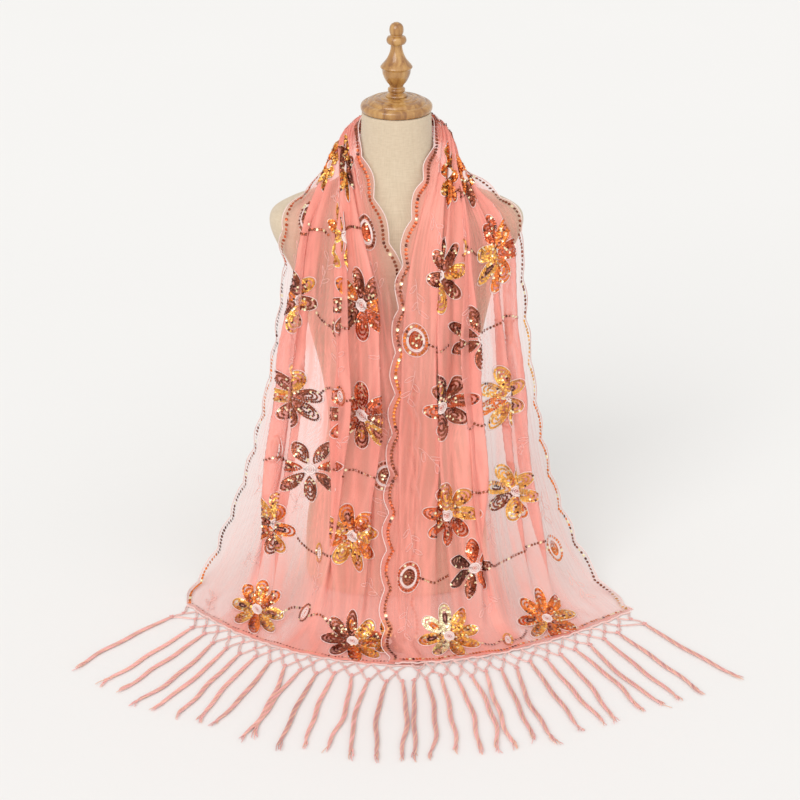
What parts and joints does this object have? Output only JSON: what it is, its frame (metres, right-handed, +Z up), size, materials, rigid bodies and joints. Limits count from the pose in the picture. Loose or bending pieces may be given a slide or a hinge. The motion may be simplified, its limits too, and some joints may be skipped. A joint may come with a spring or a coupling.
{
  "type": "evening stole on a dress form",
  "caption": "Sheer scallop-edged evening stole with knotted fringes, draped round the neck of a limbless dress form.",
  "frame": {"origin": "centre of the dress form's flat base, on the surface that it stands on", "axes": "+Z up, +X to the viewer's right, -Y towards the viewer, where the stole's ends lie"},
  "size_m": [1.0363, 0.6516, 0.9236],
  "materials": {
    "linen": "matte woven linen",
    "wood": "varnished turned wood",
    "net": "sheer soft net with sewn sequins",
    "border": "corded and sequined scallops",
    "thread": "soft twisted thread"
  },
  "bodies": {
    "root": {"form_body": "linen", "neck_cap": "wood", "cap_finial": "wood", "stole_under_end": "net", "outer_border_under_end": "border", "inner_border_under_end": "border", "stole_neck_stretch": "net", "outer_border_neck_stretch": "border", "inner_border_neck_stretch": "border", "stole_over_end": "net", "outer_border_over_end": "border", "inner_border_over_end": "border", "hem_under_end": "thread", "hem_over_end": "thread", "fringe_under_end": "thread", "fringe_over_end": "thread"}
  },
  "joints": []
}
